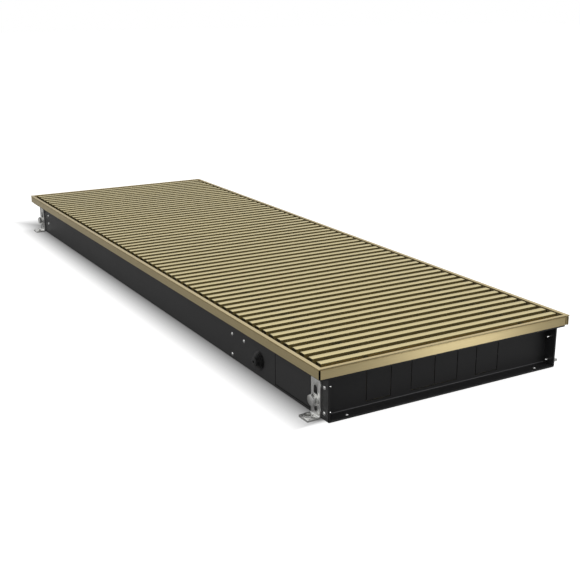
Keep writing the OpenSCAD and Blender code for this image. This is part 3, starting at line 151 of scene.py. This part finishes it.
class Mat:
    """A principled material with helpers that add its procedural detail."""

    def __init__(self, name, metallic, roughness, specular=0.5):
        self.name = name
        self.material = bpy.data.materials.new(name)
        self.material.use_nodes = True
        self.tree = self.material.node_tree
        self.shader = self.tree.nodes["Principled BSDF"]
        self.shader.inputs["Metallic"].default_value = metallic
        self.shader.inputs["Roughness"].default_value = roughness
        self.shader.inputs["Specular IOR Level"].default_value = specular
        self.coords = self.add("ShaderNodeTexCoord").outputs

    def add(self, kind, **inputs):
        node = self.tree.nodes.new(kind)
        for name, value in inputs.items():
            node.inputs[name].default_value = value
        return node

    def link(self, out, socket):
        self.tree.links.new(out, socket)

    def feed(self, value, socket):
        """Links another node's output to a socket, or sets the socket to a value."""
        if isinstance(value, bpy.types.NodeSocket):
            self.link(value, socket)
        else:
            socket.default_value = value

    def scaled(self, scale):
        """The piece's own coordinates, stretched along each axis."""
        node = self.add("ShaderNodeMapping", Scale=scale)
        self.link(self.coords["Object"], node.inputs["Vector"])
        return node.outputs["Vector"]

    def noise(self, size, detail, rough, scale=(1, 1, 1)):
        node = self.add("ShaderNodeTexNoise", Scale=size, Detail=detail, Roughness=rough)
        self.link(self.scaled(scale), node.inputs["Vector"])
        return node.outputs["Fac"]

    def cells(self, size):
        node = self.add("ShaderNodeTexVoronoi", Scale=size)
        self.link(self.scaled((1, 1, 1)), node.inputs["Vector"])
        return node.outputs["Color"]

    def ramp(self, fac, stops):
        node = self.add("ShaderNodeValToRGB")
        for element, (position, colour) in zip(node.color_ramp.elements, stops):
            element.position = position
            element.color = (*colour, 1)
        self.link(fac, node.inputs["Fac"])
        return node.outputs["Color"]

    def band(self, value, low, high, start=0.3, end=0.7):
        """Goes from low at start to high at end, and stays level outside them."""
        node = self.add("ShaderNodeMapRange")
        for name, limit in (("From Min", start), ("From Max", end),
                            ("To Min", low), ("To Max", high)):
            node.inputs[name].default_value = limit
        self.link(value, node.inputs["Value"])
        return node.outputs["Result"]

    def rise(self, value, start, end, top=1.0):
        """A mask that goes from 0 at start to top at end."""
        return self.band(value, 0.0, top, start, end)

    def fall(self, value, start, end, top=1.0):
        """A mask that goes from top at start to 0 at end."""
        return self.band(value, top, 0.0, start, end)

    def window(self, value, start, full, still_full, end):
        """A mask that is 1 between the middle two places and 0 outside the outer two."""
        return self.both(self.rise(value, start, full), self.fall(value, still_full, end))

    def calc(self, operation, a, b):
        node = self.add("ShaderNodeMath")
        node.operation = operation
        self.feed(a, node.inputs[0])
        self.feed(b, node.inputs[1])
        return node.outputs[0]

    def both(self, a, b):
        return self.calc("MULTIPLY", a, b)

    def most(self, a, b):
        return self.calc("MAXIMUM", a, b)

    def mix(self, fac, a, b):
        """Colour a where fac is 0 and colour b where it is 1."""
        node = self.add("ShaderNodeMix")
        node.data_type = "RGBA"
        self.link(fac, next(i for i in node.inputs if i.name == "Factor" and i.type == "VALUE"))
        for name, colour in (("A", a), ("B", b)):
            if isinstance(colour, tuple):
                colour = (*colour, 1)
            self.feed(colour, next(i for i in node.inputs if i.name == name and i.type == "RGBA"))
        return next(o for o in node.outputs if o.type == "RGBA")

    def part_of(self, vector, axis):
        """One component of a vector."""
        node = self.add("ShaderNodeSeparateXYZ")
        self.link(vector, node.inputs[0])
        return node.outputs[axis]

    def facing(self, axis):
        """How far a face turns to an axis of its own piece, from 0 to 1."""
        return self.calc("ABSOLUTE", self.part_of(self.coords["Normal"], axis), 0.0)

    def place(self, axis):
        """A point's coordinate in its own piece, in metres."""
        return self.part_of(self.coords["Object"], axis)

    def colour(self, out):
        self.link(out, self.shader.inputs["Base Color"])

    def rough(self, out):
        self.link(out, self.shader.inputs["Roughness"])

    def bump(self, out, strength, distance):
        node = self.add("ShaderNodeBump", Strength=strength, Distance=distance)
        self.link(out, node.inputs["Height"])
        self.link(node.outputs["Normal"], self.shader.inputs["Normal"])


def shade(colour, share):
    """A colour made darker or lighter by a factor."""
    return tuple(min(1.0, value * share) for value in colour)


def anodised(name, base, across, roughness=0.34, sheen=0.75, metallic=1.0,
             sides=1.0, edges=1.0, cut=None):
    """Satin anodised aluminium with fine drawing marks; its gloss spreads across them.

    The sides of a bar and its broken edges can get painted shade, darker than its top. cut is
    the axis that a frame member's cut ends face; these get painted shade at the left corners,
    and the end members a painted shadow line along the top strip's front edge.
    """
    m = Mat(name, metallic, roughness)
    m.shader.inputs["Anisotropic"].default_value = sheen
    turn = m.add("ShaderNodeCombineXYZ", X=across[0], Y=across[1], Z=across[2])
    m.link(turn.outputs["Vector"], m.shader.inputs["Tangent"])
    marks = (1, 0.02, 1) if across[0] else (0.02, 1, 1)
    grain = m.noise(size=2200, detail=3, rough=0.6, scale=marks)
    cloud = m.noise(size=9, detail=3, rough=0.55)
    tone = m.ramp(grain, [(0.25, shade(base, 0.9)), (0.75, shade(base, 1.06))])
    tone = m.mix(m.band(cloud, 0.0, 0.35), tone, shade(base, 0.9))
    if edges < 1.0:
        # Painted shade: a bar's sides and broken edges take darker copies of its colour than its
        # top
        up = m.facing("Z")
        tone = m.mix(m.rise(up, *TOP_FACES), shade(base, edges), tone)
        tone = m.mix(m.rise(up, *UPWARD_FACES), shade(base, sides), tone)
    if cut:
        # Painted shade: the cut ends at the left corners are coloured near black
        sawn_end_shade = m.both(m.rise(m.facing(cut), *SQUARE_FACES), m.fall(m.place("X"), *LEFT_CORNERS_X))
        tone = m.mix(sawn_end_shade, tone, CUT_END_PAINTED_SHADE)
    if cut == "X":
        # Painted shadow: a darker line along the top strip's front edge, on faces that look along Y
        painted_lip_shadow = m.both(m.rise(m.place("Z"), *FRAME_LIP_Z),
                     m.rise(m.facing("Y"), 0.4, 0.6, top=0.7))
        tone = m.mix(painted_lip_shadow, tone, shade(base, 0.25))
    m.colour(tone)
    m.rough(m.band(cloud, roughness - 0.03, roughness + 0.04))
    m.bump(grain, strength=0.08, distance=0.00003)
    return m


def powder(name, base, cuts, roughness=0.42, specular=0.25):
    """Satin black powder coat: fine orange peel, faint dust specks, and painted bounce light that
    lightens its lower part.

    cuts is "slots" for a panel, where the slots' walls get painted shade and the bend at the
    foot a painted highlight, or "score" for the wall, where the scored line gets painted shade.
    """
    m = Mat(name, metallic=0.0, roughness=roughness, specular=specular)
    peel = m.noise(size=900, detail=2, rough=0.5)
    cloud = m.noise(size=7, detail=4, rough=0.6)
    speck = m.noise(size=2600, detail=1, rough=0.5)
    tone = m.ramp(cloud, [(0.3, shade(base, 0.94)), (0.7, shade(base, 1.06))])
    # Painted bounce light: the lower part is lighter, most of all at the floor
    tone = m.mix(m.fall(m.place("Z"), *PAINTED_BOUNCE_Z, top=0.7), tone, shade(base, 1.5))
    tone = m.mix(m.rise(speck, 0.62, 0.8, top=0.5), tone, shade(base, 1.9))
    if cuts == "slots":
        # Painted shade: the slots' walls are coloured near black
        depth = m.calc("ABSOLUTE", m.place("Y"), 0.0)
        painted_shade = m.both(m.window(depth, *SLOT_WALLS_Y), m.fall(m.facing("Y"), 0.3, 0.6))
        # Painted highlight: a light band along the bend at the panel's foot
        fold_highlight = m.both(m.window(m.place("Z"), *PANEL_FOLD_Z),
                      m.rise(m.facing("Y"), 0.3, 0.5, top=0.9))
        tone = m.mix(fold_highlight, tone, shade(base, 6.0))
    else:
        # Painted shade: the bottom of the scored line is coloured near black
        painted_shade = m.window(m.place("X"), *SCORE_BOTTOM_X)
    m.colour(m.mix(painted_shade, tone, SLOT_PAINTED_SHADE))
    m.rough(m.band(cloud, roughness - 0.05, roughness + 0.06))
    m.bump(peel, strength=0.35, distance=0.00006)
    return m


def galvanised(name, base, roughness=0.38):
    """Galvanised sheet with its spangle."""
    m = Mat(name, metallic=1.0, roughness=roughness)
    flake = m.add("ShaderNodeRGBToBW")
    m.link(m.cells(size=160), flake.inputs["Color"])
    flake = flake.outputs["Val"]
    cloud = m.noise(size=14, detail=3, rough=0.6)
    tone = m.ramp(flake, [(0.1, shade(base, 0.82)), (0.9, shade(base, 1.1))])
    m.colour(m.mix(m.band(cloud, 0.0, 0.4), tone, shade(base, 0.86)))
    m.rough(m.band(flake, roughness - 0.07, roughness + 0.08, start=0.1, end=0.9))
    m.bump(m.noise(size=500, detail=2, rough=0.5), strength=0.08, distance=0.00005)
    return m


def metal(name, base, roughness, size, depth, spread, stretch=(1, 1, 1)):
    """Plated or turned metal with fine marks and a little tarnish."""
    m = Mat(name, metallic=1.0, roughness=roughness)
    grain = m.noise(size, detail=3, rough=0.6, scale=stretch)
    cloud = m.noise(size=45, detail=3, rough=0.6)
    tone = m.ramp(grain, [(0.3, shade(base, 1 - spread)), (0.7, shade(base, 1 + spread / 2))])
    m.colour(m.mix(m.rise(cloud, 0.45, 0.75, top=0.5), tone, shade(base, 0.8)))
    m.rough(m.band(cloud, roughness - 0.04, roughness + 0.08))
    m.bump(grain, depth, distance=0.00005)
    return m


def soft(name, base, roughness, size=1500, depth=0.3, specular=0.35):
    """Rubber or moulded plastic with a fine grain."""
    m = Mat(name, metallic=0.0, roughness=roughness, specular=specular)
    grain = m.noise(size, detail=2, rough=0.6)
    cloud = m.noise(size=60, detail=3, rough=0.6)
    m.colour(m.ramp(cloud, [(0.3, shade(base, 0.85)), (0.7, shade(base, 1.2))]))
    m.rough(m.band(grain, roughness - 0.06, roughness + 0.08))
    m.bump(grain, depth, distance=0.00005)
    return m


GOLD = (0.66, 0.545, 0.30)
BARS = (0.82, 0.688, 0.322)
ACROSS_LENGTH, ACROSS_WIDTH = (1, 0, 1), (0, 1, 1)
LOOK = {look.name: look.material for look in (
    anodised("gold_frame", GOLD, ACROSS_LENGTH, cut="Y"),
    anodised("gold_frame_ends", GOLD, ACROSS_WIDTH, roughness=0.40, sheen=0.8, cut="X"),
    anodised("gold_bars", BARS, ACROSS_WIDTH, roughness=0.22, sheen=0.2, metallic=0.65,
             sides=0.60, edges=0.20),
    powder("black_steel", (0.068, 0.068, 0.069), cuts="score"),
    powder("black_panel", (0.033, 0.033, 0.034), cuts="slots"),
    galvanised("zinc_sheet", (0.50, 0.51, 0.52)),
    metal("zinc_hardware", (0.90, 0.90, 0.88), 0.30, size=1200, depth=0.04, spread=0.04),
    metal("bright_rivet", (0.78, 0.78, 0.77), 0.18, size=300, depth=0.05, spread=0.04),
    soft("black_rubber", (0.014, 0.014, 0.015), 0.24, depth=0.1, specular=1.0),
    soft("red_rubber", (0.26, 0.035, 0.02), 0.6),
    # Painted shade: bushes and roll links are coloured the olive of the shaded gaps between the
    # bars
    soft("bush_rubber", (0.07, 0.059, 0.03), 0.8, size=900, depth=0.2, specular=0.0),
    metal("dark_spring", (0.16, 0.135, 0.07), 0.7, size=900, depth=0.2, spread=0.1),
    soft("black_plastic", (0.018, 0.018, 0.019), 0.45),
    soft("grey_plastic", (0.035, 0.037, 0.04), 0.45),
    soft("cream_plastic", (0.62, 0.58, 0.47), 0.45),
    metal("fins", (0.60, 0.61, 0.62), 0.28, size=900, depth=0.1, spread=0.08, stretch=(1, 1, 0.05)),
    metal("copper", (0.62, 0.29, 0.17), 0.24, size=500, depth=0.1, spread=0.12,
          stretch=(1, 0.05, 1)),
    metal("brass", (0.60, 0.43, 0.19), 0.25, size=700, depth=0.15, spread=0.1),
    metal("sintered_bronze", (0.35, 0.25, 0.12), 0.5, size=2500, depth=0.4, spread=0.2),
    metal("steel_shaft", (0.58, 0.58, 0.58), 0.18, size=900, depth=0.1, spread=0.06),
    metal("motor_can", (0.10, 0.105, 0.11), 0.38, size=900, depth=0.1, spread=0.1),
    metal("rotor", (0.11, 0.115, 0.12), 0.35, size=600, depth=0.1, spread=0.1,
          stretch=(1, 0.05, 1)),
)}

# Nodes that don't take the look of their material slot
OWN_LOOK = {
    "frame_front": "gold_frame_ends",
    "frame_rear": "gold_frame_ends",
    "grille_bushes": "bush_rubber",
    "grille_springs": "dark_spring",
}
OWN_LOOK.update({"roll_link_%d" % k: "bush_rubber" for k in range(1, 6)})


def dress(obj, look):
    """Gives an object one of the looks as its only material."""
    obj.data.materials.clear()
    obj.data.materials.append(LOOK[look])


for name, obj in NODES.items():
    dress(obj, OWN_LOOK.get(name, SLOT_OF[name]))


def smooth(mesh, sharp_from):
    """Smooth shading, apart from edges of at least this many degrees."""
    for polygon in mesh.polygons:
        polygon.use_smooth = True
    mesh.set_sharp_from_angle(angle=math.radians(sharp_from))


def cleaned(node):
    """A copy of a node's mesh with its flat faces joined up again."""
    mesh = NODES[node].data.copy()
    bm = bmesh.new()
    bm.from_mesh(mesh)
    bmesh.ops.remove_doubles(bm, verts=bm.verts, dist=WELD)
    bmesh.ops.dissolve_limit(bm, angle_limit=math.radians(FLAT_WITHIN), verts=bm.verts,
                             edges=bm.edges)
    bm.to_mesh(mesh)
    bm.free()
    return mesh


def rounded(node, width):
    """A copy of a node with rounded edges, which takes its place."""
    obj = put(node + "_look", cleaned(node))
    bevel = obj.modifiers.new("bevel", "BEVEL")
    bevel.width, bevel.segments = width, ROUNDING_STEPS
    bevel.limit_method, bevel.angle_limit = "ANGLE", math.radians(ROUNDED_FROM)
    shaped = obj.evaluated_get(bpy.context.evaluated_depsgraph_get())
    mesh = bpy.data.meshes.new_from_object(shaped)
    obj.modifiers.clear()
    obj.data = mesh
    smooth(mesh, ROUNDED_SHARP_FROM)
    dress(obj, SLOT_OF[node])
    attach(obj, BODY_OF[node])
    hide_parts(node)


for node, width in ROUNDING.items():
    rounded(node, width)


def turned_along_x(name, profile, places, slot, body, around=20):
    """Small turned ends: a profile of (reach, radius) set inward along X at each place."""
    turns = [2 * math.pi * k / around for k in range(around)]
    bm = bmesh.new()
    for x, y, z, side in places:
        rings = [[bm.verts.new((x - side * reach, y + radius * math.cos(turn),
                                z + radius * math.sin(turn))) for turn in turns]
                 for reach, radius in profile]
        for outer, inner in zip(rings, rings[1:]):
            for k in range(around):
                after = (k + 1) % around
                bm.faces.new((outer[k], outer[after], inner[after], inner[k]))
        bm.faces.new(rings[0])
        bm.faces.new(rings[-1])
    bmesh.ops.recalc_face_normals(bm, faces=bm.faces)
    mesh = bpy.data.meshes.new(name)
    bm.to_mesh(mesh)
    bm.free()
    smooth(mesh, TURNED_SHARP_FROM)
    obj = put(name, mesh)
    dress(obj, slot)
    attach(obj, body)


turned_along_x(
    "rivet_mandrels", MANDREL_PROFILE,
    [(side * MANDREL_X, end * MANDREL_Y, z, side)
     for side in (-1, 1) for end in (-1, 1) for z in MANDREL_Z],
    "bright_rivet", "casing")


def make_floor():
    """Pale grey floor that the camera sees white, apart from the shadow on the left."""
    bm = bmesh.new()
    bmesh.ops.create_grid(bm, x_segments=1, y_segments=1, size=FLOOR_SIZE)
    mesh = bpy.data.meshes.new("floor")
    bm.to_mesh(mesh)
    bm.free()
    floor = put("floor", mesh)
    floor.location.z = FLOOR_Z
    m = Mat("floor", metallic=0.0, roughness=0.9, specular=0.0)
    m.shader.inputs["Base Color"].default_value = (*FLOOR_GREY, 1)
    x, y = m.place("X"), m.place("Y")
    away = m.most(m.most(m.fall(x, *WHITE_LEFT_X), m.rise(y, *WHITE_REAR_Y)),
                  m.most(m.fall(y, *WHITE_FRONT_Y), m.rise(x, *WHITE_RIGHT_X)))
    glow = m.add("ShaderNodeEmission")
    m.link(m.calc("MINIMUM", away, FLOOR_GLOW), glow.inputs["Strength"])
    ray = m.add("ShaderNodeLightPath").outputs
    mirror = m.most(ray["Is Glossy Ray"], ray["Is Transmission Ray"])
    seen = m.most(ray["Is Camera Ray"], m.both(mirror, FLOOR_GLOW_IN_MIRRORS))
    lit = m.add("ShaderNodeAddShader")
    m.link(m.shader.outputs[0], lit.inputs[0])
    m.link(glow.outputs[0], lit.inputs[1])
    pick = m.add("ShaderNodeMixShader")
    m.link(seen, pick.inputs[0])
    m.link(m.shader.outputs[0], pick.inputs[1])
    m.link(lit.outputs[0], pick.inputs[2])
    m.link(pick.outputs[0], m.tree.nodes["Material Output"].inputs["Surface"])
    floor.data.materials.append(m.material)


def make_world():
    """Plain soft light, and a white backdrop that is a little dimmer low down in reflections."""
    world = bpy.data.worlds.new("world")
    bpy.context.scene.world = world
    world.use_nodes = True
    nodes, link = world.node_tree.nodes, world.node_tree.links.new

    def light(node, strength):
        node.inputs["Color"].default_value = WHITE
        node.inputs["Strength"].default_value = strength
        return node

    def pick(fac, a, b):
        node = nodes.new("ShaderNodeMixShader")
        for out, socket in zip((fac, a, b), node.inputs):
            link(out, socket)
        return node.outputs[0]

    soft_light = light(nodes["Background"], SOFT_LIGHT)
    backdrop = light(nodes.new("ShaderNodeBackground"), BACKDROP)
    mirrored = light(nodes.new("ShaderNodeBackground"), MIRRORED_TO)
    split = nodes.new("ShaderNodeSeparateXYZ")
    link(nodes.new("ShaderNodeTexCoord").outputs["Generated"], split.inputs[0])
    rise = nodes.new("ShaderNodeMapRange")
    for name, limit in (("From Min", HORIZON_RISE[0]), ("From Max", HORIZON_RISE[1]),
                        ("To Min", MIRRORED_FROM), ("To Max", MIRRORED_TO)):
        rise.inputs[name].default_value = limit
    link(split.outputs["Z"], rise.inputs["Value"])
    link(rise.outputs["Result"], mirrored.inputs["Strength"])
    ray = nodes.new("ShaderNodeLightPath").outputs
    mirror = nodes.new("ShaderNodeMath")
    mirror.operation = "MAXIMUM"
    link(ray["Is Glossy Ray"], mirror.inputs[0])
    link(ray["Is Transmission Ray"], mirror.inputs[1])
    lit = pick(mirror.outputs[0], soft_light.outputs[0], mirrored.outputs[0])
    seen = pick(ray["Is Camera Ray"], lit, backdrop.outputs[0])
    link(seen, nodes["World Output"].inputs["Surface"])


def area(name, at, to, size, watts):
    """An oblong lamp at one place that shines towards another."""
    light = bpy.data.lights.new(name, "AREA")
    light.shape = "RECTANGLE"
    light.size, light.size_y = size
    light.energy = watts
    obj = put(name, light)
    aim(obj, at, Vector(to) - Vector(at))
    return obj


make_floor()
make_world()
key = area("key", at=(1.7, 0.7, 2.4), to=(0, 0, 0), size=(1.3, 1.3), watts=42)
key.visible_glossy = False
front = area("front", at=(0.285, -0.98, 0.032), to=(-0.03, -0.6, 0.066), size=(0.21, 0.04),
             watts=0.32)
front.visible_camera = False
front.visible_diffuse = False

bpy.context.scene.view_settings.view_transform = "Standard"
